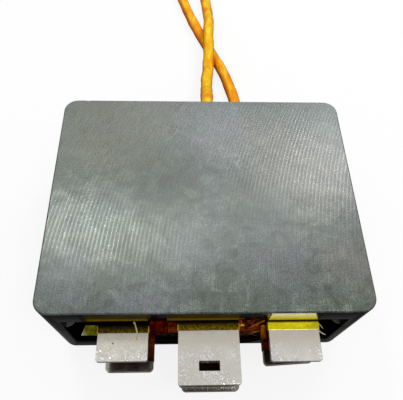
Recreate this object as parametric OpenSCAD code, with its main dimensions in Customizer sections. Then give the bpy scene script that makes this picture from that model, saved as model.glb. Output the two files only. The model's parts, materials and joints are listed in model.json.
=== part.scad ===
// Planar transformer: two ferrite core halves clamped round a stack of stamped copper turns
// and flat litz coils. Millimetres. The origin is the centre of the core's underside, +Z is up,
// the copper tabs leave the core towards -Y and the litz leads towards +Y.

/* [Core] */
// Width of the core, from leg to leg
core_w = 64; // [60:0.5:80]
// Depth of the core, from front face to back face
core_d = 50.8; // [48:0.1:60]
// Radius of the core's four upright corners
core_corner_r = 3; // [1:0.1:3.5]
// Thickness of the upper half's plate
upper_plate_t = 5.1; // [3:0.1:8]
// Thickness of the lower half's plate
lower_plate_t = 4.6; // [3:0.1:8]
// Width of each outer leg
leg_w = 4; // [3:0.1:6]
// Diameter of the round centre post
post_d = 23; // [18:0.1:26]
// Length of the upper half's legs and post below its plate
upper_leg_h = 5.9; // [3:0.1:10]
// Chamfer round the outer face of each plate
plate_chamfer = 0.3; // [0.1:0.05:0.8]

/* [Wear] */
// Radius of the bite that makes the chip in the upper back edge
chip_r = 1.1; // [0.5:0.1:2]
// Distance of that chip from the core's left side
chip_from_left = 5.3; // [4:0.1:30]
// Radius of the bite that makes the small nick nearer the corner
nick_r = 0.7; // [0.3:0.1:1]
// Distance of that nick from the core's left side
nick_from_left = 2.9; // [2.5:0.1:4]

/* [Gap shims] */
// Thickness of the film in the joint of each outer leg
shim_t = 0.2; // [0.1:0.05:0.6]
// How far the film stands out of the joint into the window
shim_tongue = 1.8; // [0.5:0.1:2.5]
// How far the film's ends stay back from the core's front and back faces
shim_inset = 0.6; // [0.2:0.1:2]

/* [Primary coils] */
// Diameter of the wrapped litz wire
wire_d = 2.6; // [2:0.1:2.7]
// Distance between neighbouring turns and layers of wire
wire_pitch = 2.8; // [2.7:0.05:3.2]
// Space between a coil and the shim that stands out of each outer leg
coil_side_gap = 0.2; // [0.1:0.1:1]
// How far a coil stands out of the core's front and back faces
coil_proud = 1; // [0:0.1:1.6]
// Smallest space between a coil and the sleeve on the post
coil_hole_gap = 0.1; // [0.1:0.1:1]
// Radius of the corners of a coil's opening
coil_opening_r = 4; // [2:0.5:9]

/* [Copper turns] */
// Thickness of the copper sheet
turn_t = 1.2; // [0.8:0.1:1.6]
// How far a turn's ring stays inside the coil's outline
turn_inset = 3; // [2.8:0.1:4]
// Radius of the ring's outer corners
turn_corner_r = 16; // [10:0.5:20]
// Space between the sleeve on the post and the hole in a turn
turn_hole_gap = 0.8; // [0.7:0.1:2]
// Width of the cut that parts a turn between its two tabs
turn_slit_w = 2.4; // [1.5:0.1:3]

/* [Tabs] */
// Width of the centre tab
centre_tab_w = 11.6; // [9:0.1:13]
// Width of a side tab
side_tab_w = 9.7; // [7:0.1:10.5]
// Distance from the centre tab's middle to a side tab's middle
tab_pitch = 16.4; // [15.6:0.1:17]
// Place of the tab row's middle, to the right of the core's middle
tab_row_x = 0.4; // [0:0.1:0.8]
// How far the centre tab reaches in front of the core
centre_tab_reach = 11.2; // [10:0.1:16]
// How far a side tab reaches in front of the core
side_tab_reach = 7.3; // [6.5:0.1:10]
// Radius of a tab's end corners
tab_corner_r = 0.9; // [0.3:0.1:2]
// Width of the slot in the upper centre tab
slot_w = 3.9; // [2:0.1:6]
// Length of the slot along the tab
slot_l = 1.8; // [1:0.1:2.4]
// Distance from the centre tab's end to the slot
slot_end_gap = 2.1; // [1.2:0.1:3]
// Sideways slip of the lower left turn against the others, as it was stacked
lower_left_slip_x = 0.6; // [0:0.1:0.7]
// How far out of line the turns were stacked, front to back
turn_slip_y = 0.3; // [0:0.1:0.5]
// Slant of the lower right tab's end, in degrees
lower_right_slant = 3; // [1:0.5:5]

/* [Insulation] */
// Thickness of each film between two layers
film_t = 0.2; // [0.15:0.05:0.4]
// How far a film stands out past the copper ring
film_margin = 0.5; // [0.2:0.1:1]
// Space between the sleeve on the post and the hole in a film
film_hole_gap = 0.3; // [0.1:0.1:0.6]
// Wall of the sleeve on the centre post
sleeve_wall = 0.4; // [0.2:0.05:0.6]
// Space between the centre post and its sleeve
sleeve_gap = 0.1; // [0.05:0.05:0.2]
// Space left between the stack of layers and the upper half's plate
stack_room = 0.1; // [0.05:0.05:0.5]

/* [Tape] */
// Thickness of the tape round a tab, with its adhesive
tape_t = 0.1; // [0.05:0.01:0.15]
// How far the tape reaches in front of the core on the upper tabs
upper_tape_reach = 1.8; // [0.5:0.1:4]
// How far the tape reaches in front of the core on the lower right tab
lower_right_tape_reach = 4; // [0.5:0.1:6]
// How far the tape reaches in front of the core on the lower centre tab
lower_centre_tape_reach = 9; // [0.5:0.1:9.4]
// How far the tape reaches in front of the core on the lower left tab
lower_left_tape_reach = 5.6; // [0.5:0.1:6.4]
// Width of the loose flag of tape beside the upper left tab
flag_w = 3.1; // [1:0.1:4]
// Length of the loose flag of tape along the tab
flag_l = 2.2; // [1:0.1:3]
// How far the flag's free edge slants
flag_slant = 0.6; // [0:0.1:0.9]
// Space between the tape on the core's front face and the chamfer above it
face_tape_edge = 0.2; // [0:0.1:1]
// How far the tape on the core's front face reaches past the left tab, to its left
left_face_tape_past = 2.8; // [0:0.1:4]
// How far the tape on the core's front face reaches past the centre tab, to its left
centre_face_tape_past = 2.1; // [0:0.1:2.5]
// Thickness of the tape that binds the upper coil, wound over itself
gap_tape_t = 0.2; // [0.1:0.05:0.4]
// How far the binding tape hangs down in front of the coil, from the outermost wire's middle
gap_tape_drop = 2.6; // [1:0.1:3.5]
// Space between the binding tape and the wire that it lies on
gap_tape_lift = 0.05; // [0.05:0.05:0.2]
// Space between the binding tape and the tape on the tab beside it
gap_tape_room = 0.3; // [0.1:0.1:0.8]
// Width of the tape patch where a lead leaves its coil
patch_w = 7; // [5:0.5:12]
// Thickness of that patch
patch_t = 0.9; // [0.5:0.1:1.5]
// How far the patch stands out past the lead, above and below
patch_margin = 0.2; // [0.2:0.1:0.5]
// Radius of the patch's corners
patch_corner_r = 0.8; // [0.2:0.1:1.4]

/* [Leads] */
// Diameter of a lead with its tape wrap
lead_d = 3.4; // [2.8:0.1:3.9]
// Diameter of a lead's tinned end
lead_end_d = 2.4; // [1.5:0.1:2.7]
// Length of a lead's tinned end
lead_end_l = 8; // [5:0.5:12]
// Space between the two leads where they cross
crossing_gap = 0.4; // [0.2:0.1:1]

/* [Hidden] */
$fn = 96;
tube_sides = 8;
wire_facets = 48;
cut = 1;

ferrite = "dimgray";
tinned = "silver";
polyimide = "goldenrod";
wrapped_litz = "darkorange";
shim_film = "ivory";

// Heights of the layers, from the lower plate up
coil_h = wire_d + wire_pitch;
pair_h = 2 * turn_t + film_t;
lower_coil_z = lower_plate_t;
lower_coil_film_z = lower_coil_z + coil_h;
lower_left_z = lower_coil_film_z + film_t;
lower_turn_film_z = lower_left_z + turn_t;
lower_right_z = lower_turn_film_z + film_t;
middle_film_z = lower_right_z + turn_t;
upper_coil_z = middle_film_z + film_t;
upper_coil_film_z = upper_coil_z + coil_h;
upper_left_z = upper_coil_film_z + film_t;
upper_turn_film_z = upper_left_z + turn_t;
upper_right_z = upper_turn_film_z + film_t;
top_film_z = upper_right_z + turn_t;

// The window takes the whole stack, and the lower half's legs make up what the upper ones leave
window_top_z = top_film_z + film_t + stack_room;
joint_z = window_top_z - upper_leg_h - shim_t;
core_h = window_top_z + upper_plate_t;

front_y = -core_d / 2;
back_y = core_d / 2;

// Round the post: its sleeve, then as many turns of wire in each layer as there is room for
sleeve_r = post_d / 2 + sleeve_gap;
sleeve_outer_r = sleeve_r + sleeve_wall;
coil_half_w = core_w / 2 - leg_w - shim_tongue - coil_side_gap;
coil_half_d = core_d / 2 + coil_proud;
coil_room = min(coil_half_w, coil_half_d) - sleeve_outer_r - coil_hole_gap - wire_d;
coil_turns = floor(coil_room / wire_pitch) + 1;
coil_corner_r = coil_opening_r + (coil_turns - 1) * wire_pitch + wire_d;
turn_half_w = coil_half_w - turn_inset;
turn_half_d = coil_half_d - turn_inset;
turn_hole_r = sleeve_outer_r + turn_hole_gap;
film_half_w = turn_half_w + film_margin;
film_half_d = turn_half_d + film_margin;

tab_x = [for (side = [-1, 0, 1]) tab_row_x + side * tab_pitch];
slit_x = (centre_tab_w / 2 + tab_pitch - side_tab_w / 2) / 2;
tab_gap_w = tab_pitch - side_tab_w / 2 - centre_tab_w / 2;
gap_tape_w = tab_gap_w - 2 * (tape_t + gap_tape_room);
tape_back_y = -film_half_d - turn_slip_y;
face_tape_h = upper_plate_t - plate_chamfer - face_tape_edge;

// Routes of the two leads' middle lines, from the patch on the coil to the tinned end.
// Their y counts from the core's back face.
upper_wire_z = upper_coil_z + wire_pitch + wire_d / 2;
lower_wire_z = lower_coil_z + wire_d / 2;
exit_y = coil_proud + patch_t;
floor_z = lead_d / 2;
over_z = 1.5 * lead_d + crossing_gap;
left_points = [
    [1.8, exit_y, upper_wire_z], [1.8, 6, 17], [1.9, 10, 15.5], [2.1, 14, 13], [2.3, 18, 10.5],
    [2.4, 22, 8.5], [2.6, 26, 7.2], [3, 30, 6.4], [3.4, 35, over_z + 0.3], [3.7, 41, over_z],
    [3.8, 47, over_z], [4, 53, over_z - 0.5], [4.1, 59, over_z - 2.2], [3.9, 64, floor_z + 0.4],
    [3.4, 70, floor_z], [2.7, 75, floor_z], [2.1, 80, floor_z], [1.6, 85, floor_z]
];
right_points = [
    [8, exit_y, lower_wire_z], [8.5, 6, 5.6], [9.6, 10, 4.6], [10.7, 14, 3.4],
    [11.4, 18, 2.4], [11.3, 23, floor_z], [10.1, 28, floor_z], [8.7, 33, floor_z], [6.9, 38, floor_z],
    [4.9, 43, floor_z], [2.5, 49, floor_z], [0.1, 55, floor_z], [-2.4, 62, floor_z],
    [-4.9, 70, floor_z], [-6.9, 77, floor_z], [-8.9, 84, floor_z]
];
left_route = [for (p = left_points) p + [0, back_y, 0]];
right_route = [for (p = right_points) p + [0, back_y, 0]];

// Outlines

// A rectangle about the origin with round corners
module rounded_plate(half_w, half_d, r) {
    square([2 * half_w, 2 * (half_d - r)], center = true);
    square([2 * (half_w - r), 2 * half_d], center = true);
    for (x = [-1, 1], y = [-1, 1]) translate([x * (half_w - r), y * (half_d - r)]) circle(r);
}

// A strip in front of the ring, from the ring's hole to the tab's rounded end
module tab_strip(x, w, reach) {
    end_y = front_y - reach;
    translate([x - w / 2, end_y + tab_corner_r]) square([w, -turn_hole_r - end_y - tab_corner_r]);
    translate([x - w / 2 + tab_corner_r, end_y]) square([w - 2 * tab_corner_r, 2 * tab_corner_r]);
    for (side = [-1, 1])
        translate([x + side * (w / 2 - tab_corner_r), end_y + tab_corner_r]) circle(tab_corner_r);
}

// One turn seen from above: a ring cut open beside the centre tab, on the side of its other tab.
// A slant cuts the end of that tab off askew.
module turn_outline(side, slant) {
    difference() {
        union() {
            rounded_plate(turn_half_w, turn_half_d, turn_corner_r);
            tab_strip(tab_x[1], centre_tab_w, centre_tab_reach);
            tab_strip(tab_x[1 + side], side_tab_w, side_tab_reach);
        }
        circle(turn_hole_r);
        translate([tab_x[1] + side * slit_x, -turn_half_d])
            square([turn_slit_w, 2 * turn_half_d], center = true);
        if (slant > 0) translate([tab_x[1 + side] - side_tab_w / 2, front_y - side_tab_reach])
            rotate(slant) translate([0, -side_tab_reach]) square([2 * side_tab_w, side_tab_reach]);
    }
}

// Section across a block that lies on its chamfered face
module block_section(half, h) {
    c = plate_chamfer;
    polygon([[-half + c, 0], [half - c, 0], [half, c], [half, h], [-half, h], [-half, c]]);
}

// Section of a coil: two layers of wires side by side, bound together by their tape.
// The outermost turn's outside is at x = 0, and the turns follow towards -x.
module coil_section() {
    span = (coil_turns - 1) * wire_pitch;
    for (layer = [0, 1]) translate([-wire_d / 2, wire_d / 2 + layer * wire_pitch]) {
        for (turn = [0 : coil_turns - 1]) translate([-turn * wire_pitch, 0])
            circle(d = wire_d, $fn = wire_facets);
        translate([-span, -wire_d / 4]) square([span, wire_d / 2]);
    }
    translate([-span - wire_d / 2, wire_d / 2]) square([span, wire_pitch]);
}

// Solids that repeat

// A block with the core's outline and round upright corners, which lies on its chamfered face
module core_block(h) {
    half_w = core_w / 2;
    half_d = core_d / 2;
    r = core_corner_r;
    c = plate_chamfer;
    rotate([90, 0, 0]) linear_extrude(core_d - 2 * r, center = true) block_section(half_w, h);
    rotate([90, 0, 90]) linear_extrude(core_w - 2 * r, center = true) block_section(half_d, h);
    for (x = [-1, 1], y = [-1, 1]) translate([x * (half_w - r), y * (half_d - r), 0])
        rotate_extrude() polygon([[0, 0], [r - c, 0], [r, c], [r, h], [0, h]]);
}

// One half of the core, plate down: a block with the window cut right through, round the post
module core_half(plate_t, leg_h) {
    difference() {
        core_block(plate_t + leg_h);
        translate([0, 0, plate_t]) linear_extrude(leg_h + cut) difference() {
            square([core_w - 2 * leg_w, core_d + 2 * cut], center = true);
            circle(d = post_d);
        }
    }
}

// A round bite out of the upper back edge, centred half its radius outside both faces
module edge_bite(from_left, r) {
    translate([from_left - core_w / 2, back_y + r / 2, core_h + r / 2]) sphere(r);
}

// The film in one outer leg's joint, with its inner corners cut round
module gap_shim(side) {
    shim_w = leg_w + shim_tongue;
    color(shim_film) translate([0, 0, joint_z]) linear_extrude(shim_t) intersection() {
        rounded_plate(core_w / 2, core_d / 2, core_corner_r);
        translate([side * (core_w - shim_w) / 2, 0])
            rounded_plate(shim_w / 2, core_d / 2 - shim_inset, shim_tongue);
    }
}

// One copper turn, laid at its height with the slip that it was stacked with.
// The slot is punched through both upper sheets at once, so it has no slip.
module copper_turn(side, z, slip_x, slip_y, slotted, slant) {
    slot_y = front_y - centre_tab_reach + slot_end_gap;
    color(tinned) translate([0, 0, z]) linear_extrude(turn_t) difference() {
        translate([slip_x, slip_y]) turn_outline(side, slant);
        if (slotted) translate([tab_x[1] - slot_w / 2, slot_y]) square([slot_w, slot_l]);
    }
}

// One insulating film with its round hole
module film(z) {
    color(polyimide) translate([0, 0, z]) linear_extrude(film_t) difference() {
        rounded_plate(film_half_w, film_half_d, turn_corner_r + film_margin);
        circle(sleeve_outer_r + film_hole_gap);
    }
}

// One coil: four corners and four straight runs round a rounded rectangle
module primary_coil(z) {
    run_x = coil_half_w - coil_corner_r;
    run_y = coil_half_d - coil_corner_r;
    color(wrapped_litz) translate([0, 0, z]) {
        for (corner = [[1, 1, 0], [-1, 1, 90], [-1, -1, 180], [1, -1, 270]])
            translate([corner[0] * run_x, corner[1] * run_y, 0]) rotate(corner[2])
                rotate_extrude(angle = 90) translate([coil_corner_r, 0]) coil_section();
        for (side = [0, 180]) rotate(side) {
            translate([coil_half_w, 0, 0]) rotate([90, 0, 0])
                linear_extrude(2 * run_y, center = true) coil_section();
            translate([0, coil_half_d, 0]) rotate([90, 0, 90])
                linear_extrude(2 * run_x, center = true) coil_section();
        }
    }
}

// Tape wound round a tab's root: a flat tube from in front of the films to the tape's own edge
module tab_tape(x, w, z, h, reach) {
    run = tape_back_y - front_y + reach;
    color(polyimide) translate([x - w / 2, front_y - reach, z]) difference() {
        translate([-tape_t, 0, -tape_t]) cube([w + 2 * tape_t, run, h + 2 * tape_t]);
        translate([0, -cut, 0]) cube([w, run + 2 * cut, h]);
    }
}

// Tape on the core's front face above a tab, from past the tab's left edge to its right edge
module face_tape(tab, w, past) {
    color(polyimide) translate([tab_x[tab] - w / 2 - past, front_y - tape_t, window_top_z])
        cube([w + past, tape_t, face_tape_h]);
}

// Tape that binds the upper coil, in the gap on one side of the centre tab: it lies round the
// outermost wire from its top to its front and hangs down in front of the wire below
module gap_tape(side) {
    r = wire_d / 2 + gap_tape_lift;
    outer_r = r + gap_tape_t;
    color(polyimide) translate([tab_x[1] + side * slit_x, wire_d / 2 - coil_half_d, upper_wire_z])
        rotate([90, 0, 90]) linear_extrude(gap_tape_w, center = true) {
            intersection() {
                difference() {
                    circle(outer_r);
                    circle(r);
                }
                translate([-outer_r, 0]) square(outer_r);
            }
            translate([-outer_r, -gap_tape_drop]) square([gap_tape_t, gap_tape_drop]);
        }
}

// Patch of tape on the back of a coil where its lead leaves it
module exit_patch(x, z) {
    color(polyimide) translate([x, coil_half_d, z]) rotate([-90, 0, 0]) linear_extrude(patch_t)
        rounded_plate(patch_w / 2, lead_d / 2 + patch_margin, patch_corner_r);
}

// Sweep of a tube along a route. Each ring faces along the route at its point.
function unit(v) = v / norm(v);
function heading(route, i) =
    i == 0 ? [0, 1, 0] : unit(route[min(i + 1, len(route) - 1)] - route[i - 1]);
function across(way) = unit(cross(way, [0, 0, 1]));
function ring(p, way, r) =
    [for (k = [0 : tube_sides - 1])
        let (a = 360 * (k + 0.5) / tube_sides)
        p + r * (cos(a) * across(way) + sin(a) * cross(across(way), way))];
module tube(route, d) {
    r = d / 2 / cos(180 / tube_sides);
    last = len(route) - 1;
    points = [for (i = [0 : last]) each ring(route[i], heading(route, i), r)];
    sides = [for (i = [0 : last - 1], k = [0 : tube_sides - 1])
        let (a = i * tube_sides + k, b = i * tube_sides + (k + 1) % tube_sides)
        [a, b, b + tube_sides, a + tube_sides]];
    near_end = [[for (k = [tube_sides - 1 : -1 : 0]) k]];
    far_end = [[for (k = [0 : tube_sides - 1]) last * tube_sides + k]];
    polyhedron(points, concat(sides, near_end, far_end));
}

// A lead's tinned end, in line with the last stretch of its route
module tinned_end(route) {
    last = len(route) - 1;
    way = heading(route, last);
    color(tinned) translate(route[last]) rotate(-atan2(way[0], way[1])) rotate([-90, 0, 0]) {
        cylinder(h = lead_end_l - lead_end_d / 2, d = lead_end_d);
        translate([0, 0, lead_end_l - lead_end_d / 2]) sphere(d = lead_end_d);
    }
}

// Sub-parts

module upper_core_half() {
    color(ferrite) difference() {
        translate([0, 0, core_h]) mirror([0, 0, 1]) core_half(upper_plate_t, upper_leg_h);
        edge_bite(chip_from_left, chip_r);
        edge_bite(nick_from_left, nick_r);
    }
}

module lower_core_half() {
    color(ferrite) core_half(lower_plate_t, joint_z - lower_plate_t);
}

module left_gap_shim() gap_shim(-1);
module right_gap_shim() gap_shim(1);

module post_sleeve() {
    h = window_top_z - lower_plate_t;
    color(polyimide) translate([0, 0, lower_plate_t]) difference() {
        cylinder(h = h, r = sleeve_outer_r);
        translate([0, 0, -cut]) cylinder(h = h + 2 * cut, r = sleeve_r);
    }
}

module top_film() film(top_film_z);
module upper_turn_film() film(upper_turn_film_z);
module upper_coil_film() film(upper_coil_film_z);
module middle_film() film(middle_film_z);
module lower_turn_film() film(lower_turn_film_z);
module lower_coil_film() film(lower_coil_film_z);

module upper_right_turn() copper_turn(1, upper_right_z, 0, -turn_slip_y, true, 0);
module upper_left_turn() copper_turn(-1, upper_left_z, 0, turn_slip_y, true, 0);
module lower_right_turn()
    copper_turn(1, lower_right_z, 0, turn_slip_y, false, lower_right_slant);
module lower_left_turn()
    copper_turn(-1, lower_left_z, lower_left_slip_x, -turn_slip_y, false, 0);

module upper_primary_coil() primary_coil(upper_coil_z);
module lower_primary_coil() primary_coil(lower_coil_z);

module upper_left_tape() {
    flag_x = tab_x[0] - side_tab_w / 2 - tape_t - flag_w;
    tab_tape(tab_x[0], side_tab_w, upper_left_z, turn_t, upper_tape_reach);
    color(polyimide) translate([flag_x, front_y - upper_tape_reach, upper_left_z])
        linear_extrude(2 * tape_t)
            polygon([[0, 0], [flag_w, 0], [flag_w, flag_l], [flag_slant, flag_l]]);
}
module upper_centre_tape() tab_tape(tab_x[1], centre_tab_w, upper_left_z, pair_h, upper_tape_reach);
module upper_right_tape() tab_tape(tab_x[2], side_tab_w, upper_right_z, turn_t, upper_tape_reach);
module lower_left_tape()
    tab_tape(tab_x[0] + lower_left_slip_x, side_tab_w, lower_left_z, turn_t, lower_left_tape_reach);
module lower_centre_tape() {
    x = tab_x[1] + lower_left_slip_x / 2;
    tab_tape(x, centre_tab_w + lower_left_slip_x, lower_left_z, pair_h, lower_centre_tape_reach);
}
module lower_right_tape()
    tab_tape(tab_x[2], side_tab_w, lower_right_z, turn_t, lower_right_tape_reach);

module left_face_tape() face_tape(0, side_tab_w, left_face_tape_past);
module centre_face_tape() face_tape(1, centre_tab_w, centre_face_tape_past);
module right_face_tape() face_tape(2, side_tab_w, 0);

module left_gap_tape() gap_tape(-1);
module right_gap_tape() gap_tape(1);

module upper_exit_patch() exit_patch(left_route[0][0], upper_wire_z);
module lower_exit_patch() exit_patch(right_route[0][0], lower_wire_z);

module left_lead() color(wrapped_litz) tube(left_route, lead_d);
module right_lead() color(wrapped_litz) tube(right_route, lead_d);
module left_lead_end() tinned_end(left_route);
module right_lead_end() tinned_end(right_route);

upper_core_half();
lower_core_half();
left_gap_shim();
right_gap_shim();
post_sleeve();
top_film();
upper_right_turn();
upper_turn_film();
upper_left_turn();
upper_coil_film();
upper_primary_coil();
middle_film();
lower_right_turn();
lower_turn_film();
lower_left_turn();
lower_coil_film();
lower_primary_coil();
upper_left_tape();
upper_centre_tape();
upper_right_tape();
lower_left_tape();
lower_centre_tape();
lower_right_tape();
left_face_tape();
centre_face_tape();
right_face_tape();
left_gap_tape();
right_gap_tape();
upper_exit_patch();
lower_exit_patch();
left_lead();
right_lead();
left_lead_end();
right_lead_end();
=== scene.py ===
# %% [markdown]
# A planar transformer, dressed for the camera.
# The frame holds every rigid piece at its real size: two ferrite core halves, four stamped
# copper turns, two litz coils, films, tapes and two leads. This lesson gives each piece its
# finish and adds what is too thin or too soft for a solid, such as wrinkled tape. The frame
# is loaded first, because every later step takes its sizes and places from it.

# %% Load the frame
import json
import math

import bmesh
import bpy
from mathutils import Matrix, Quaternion, Vector, noise


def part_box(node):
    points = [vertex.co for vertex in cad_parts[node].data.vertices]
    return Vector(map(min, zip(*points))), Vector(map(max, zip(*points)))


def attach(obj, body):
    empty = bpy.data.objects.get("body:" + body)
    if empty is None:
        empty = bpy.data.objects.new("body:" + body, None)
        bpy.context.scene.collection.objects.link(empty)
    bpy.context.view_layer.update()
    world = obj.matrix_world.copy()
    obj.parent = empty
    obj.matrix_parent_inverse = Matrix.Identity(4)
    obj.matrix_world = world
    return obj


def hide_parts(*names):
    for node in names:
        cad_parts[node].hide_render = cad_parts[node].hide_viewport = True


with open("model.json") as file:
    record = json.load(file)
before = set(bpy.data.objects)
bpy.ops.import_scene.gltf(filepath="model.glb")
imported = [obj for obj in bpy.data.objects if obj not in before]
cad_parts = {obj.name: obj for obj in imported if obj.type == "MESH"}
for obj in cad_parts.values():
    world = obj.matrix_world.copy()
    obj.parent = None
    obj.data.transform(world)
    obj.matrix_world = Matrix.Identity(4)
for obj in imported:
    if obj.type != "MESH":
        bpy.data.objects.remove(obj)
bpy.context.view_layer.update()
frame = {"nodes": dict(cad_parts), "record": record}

MM = 0.001
core_low, core_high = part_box("upper_core_half")
front_y, back_y = core_low.y, core_high.y
print("nodes:", len(frame["nodes"]), "core width in mm:", round((core_high.x - core_low.x) / MM, 1))

# %% [markdown]
# The camera.
# A camera can be moved by hand until the view looks right, but then its lens is a guess. A
# photograph's perspective can instead be taken back to a place and a lens from the corners of
# a box of known size. The camera here stands in front of the core and above it, looks down at
# the floor behind it, and is rolled by a few degrees, as a hand-held one is.

# %% Camera
CAMERA_AT = Vector((-4.38, -47.61, 108.24)) * MM
CAMERA_AIM = Vector((0.56, 13.3, 0.0)) * MM
CAMERA_ROLL = math.radians(4.04)
LENS_MM = 40.25
# Blender's own limit of 100 mm would cut away the top of the core
NEAR_LIMIT = 1 * MM


def new_object(name, data):
    """An object in the scene for a mesh, a curve, a camera or a lamp."""
    made = bpy.data.objects.new(name, data)
    bpy.context.scene.collection.objects.link(made)
    return made


def point(thing, at, aim):
    """Puts a camera or a lamp in its place and turns it to what it looks at."""
    thing.location = at
    thing.rotation_mode = "QUATERNION"
    thing.rotation_quaternion = (aim - at).to_track_quat("-Z", "Y")


camera = new_object("camera", bpy.data.cameras.new("camera"))
camera.data.lens = LENS_MM
camera.data.clip_start = NEAR_LIMIT
point(camera, CAMERA_AT, CAMERA_AIM)
camera.rotation_quaternion = camera.rotation_quaternion @ Quaternion((0, 0, 1), CAMERA_ROLL)
bpy.context.scene.camera = camera
print("camera is", round((CAMERA_AIM - CAMERA_AT).length / MM), "mm from what it looks at")

# %% [markdown]
# The leads.
# Each lead is a bundle of fine wires with tape wound round it, so it is stiff, a little
# lumpy, and never quite round. A curve with a round bevel gives the bend, but only a mesh
# can carry lumps and the steps of a tape wrap. So the curve is made a mesh first, and then
# each point moves in or out, by how far along and how far round the lead it lies.

# %% The leads' routes
LEAD_D = 3.4 * MM
LEFT_POINTS = [
    (1.8, 1.9, 17.1), (1.8, 6, 17), (1.9, 10, 15.5), (2.1, 14, 13), (2.3, 18, 10.5),
    (2.4, 22, 8.5), (2.6, 26, 7.2), (3, 30, 6.4), (3.4, 35, 5.8), (3.7, 41, 5.5),
    (3.8, 47, 5.5), (4, 53, 5.0), (4.1, 59, 3.3), (3.9, 64, 2.1),
    (3.4, 70, 1.7), (2.7, 75, 1.7), (2.1, 80, 1.7), (1.6, 85, 1.7),
]
RIGHT_POINTS = [
    (8, 1.9, 5.9), (8.5, 6, 5.6), (9.6, 10, 4.6), (10.7, 14, 3.4),
    (11.4, 18, 2.4), (11.3, 23, 1.7), (10.1, 28, 1.7), (8.7, 33, 1.7), (6.9, 38, 1.7),
    (4.9, 43, 1.7), (2.5, 49, 1.7), (0.1, 55, 1.7), (-2.4, 62, 1.7),
    (-4.9, 70, 1.7), (-6.9, 77, 1.7), (-8.9, 84, 1.7),
]


def route(points):
    """A lead's points in metres. Their y counts from the core's back face."""
    return [Vector((x, y, z)) * MM + Vector((0, back_y, 0)) for x, y, z in points]


print("route points:", len(LEFT_POINTS), "and", len(RIGHT_POINTS))

# %% From curves to meshes


def smooth_curve(name, points, steps):
    """A curve of one open spline that passes through the points."""
    data = bpy.data.curves.new(name, "CURVE")
    data.dimensions = "3D"
    data.resolution_u = steps
    spline = data.splines.new("BEZIER")
    spline.bezier_points.add(len(points) - 1)
    for knot, spot in zip(spline.bezier_points, points):
        knot.co = spot
        knot.handle_left_type = knot.handle_right_type = "AUTO"
    return data


def meshed(curve):
    """The mesh that Blender makes of a curve."""
    holder = new_object("holder", curve)
    bpy.context.view_layer.update()
    evaluated = holder.evaluated_get(bpy.context.evaluated_depsgraph_get())
    mesh = bpy.data.meshes.new_from_object(evaluated)
    bpy.data.objects.remove(holder)
    return mesh


def to_mesh(bm, name):
    """A mesh of a finished bmesh, which is freed."""
    mesh = bpy.data.meshes.new(name)
    bm.to_mesh(mesh)
    bm.free()
    return mesh


def place(mesh, name, smooth_below):
    """An object for a finished mesh that rides on the one body. Edges under the angle, in
    degrees, are smooth."""
    mesh.name = name
    mesh.shade_smooth()
    mesh.set_sharp_from_angle(angle=math.radians(smooth_below))
    piece = new_object(name, mesh)
    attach(piece, "root")
    return piece


print("curve and mesh helpers ready")

# %% Wrapped leads
WRAP_PITCH = 6.5 * MM
WRAP_STEP = 0.06 * MM
LUMP_LENGTH = 5.0 * MM
LUMP_HEIGHT = 0.24 * MM
# How much the lumps differ from side to side, as a radius in the noise
LUMP_ROUND = 0.7
PLAIN_END = 1.0 * MM
LEAD_STEPS = 12
LEAD_ROUNDNESS = 10
LEAD_SMOOTH_BELOW = 80
MERGE = 0.001 * MM


def wrapped_lead(name, points, node, seed):
    """A lead with lumps and tape steps, which stands for its solid."""
    line = smooth_curve(name, points, LEAD_STEPS)
    path = [v.co.copy() for v in meshed(line).vertices]
    walked = [0.0]
    for a, b in zip(path, path[1:]):
        walked.append(walked[-1] + (b - a).length)
    line.bevel_depth = LEAD_D / 2
    line.bevel_resolution = LEAD_ROUNDNESS
    line.use_fill_caps = True
    bm = bmesh.new()
    bm.from_mesh(meshed(line))
    bmesh.ops.remove_doubles(bm, verts=bm.verts, dist=MERGE)
    bmesh.ops.recalc_face_normals(bm, faces=bm.faces)
    lap = bm.verts.layers.float.new("lap")
    for v in bm.verts:
        nearest = min(range(len(path)), key=lambda i: (path[i] - v.co).length_squared)
        along = walked[nearest]
        ahead = (path[min(nearest + 1, len(path) - 1)] - path[max(nearest - 1, 0)]).normalized()
        aside = ahead.cross(Vector((0, 0, 1))).normalized()
        out = v.co - path[nearest]
        angle = math.atan2(out.dot(aside.cross(ahead)), out.dot(aside))
        turn = (along / WRAP_PITCH + angle / math.tau) % 1
        v[lap] = turn
        around = LUMP_ROUND * math.cos(angle), LUMP_ROUND * math.sin(angle)
        spot = Vector((along / LUMP_LENGTH + seed, *around))
        lump = LUMP_HEIGHT * noise.noise(spot) + WRAP_STEP * (turn - 0.5)
        fade = min(1, along / PLAIN_END, (walked[-1] - along) / PLAIN_END)
        v.co += out.normalized() * lump * max(0, fade)
        v.co.z = max(v.co.z, 0)
    lead = place(to_mesh(bm, name), name, LEAD_SMOOTH_BELOW)
    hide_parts(node)
    print(name, "length in mm:", round(walked[-1] / MM, 1), "faces:", len(lead.data.polygons))
    return lead


left_lead = wrapped_lead("left_wrapped_lead", route(LEFT_POINTS), "left_lead", 0)
right_lead = wrapped_lead("right_wrapped_lead", route(RIGHT_POINTS), "right_lead", 40)

# %% [markdown]
# Colours and nodes.
# Colours are written as the hex values that a colour picker shows and turned to the linear
# values that a shader works with. A material could be wired by hand in the editor, but a
# script says what each node is for. One function adds a node, sets and links its inputs, and
# gives back an output for the next node to take. Textures have inputs with names. Others go
# by number: a MapRange takes a value, where its range starts and ends, and what it gives
# there, 0 and 1 if nothing is said. A Mix takes its share and, as inputs 6 and 7, two
# colours, and its output 2 is the colour.

# %% Material helpers
# Most of a noise's values lie in this range
USUAL = {1: 0.35, 2: 0.65}
BACKWARDS, FORWARDS = (0, 1, 0), (0, -1, 0)
LEFT, DOWN = (-1, 0, 0), (0, 0, -1)


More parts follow.
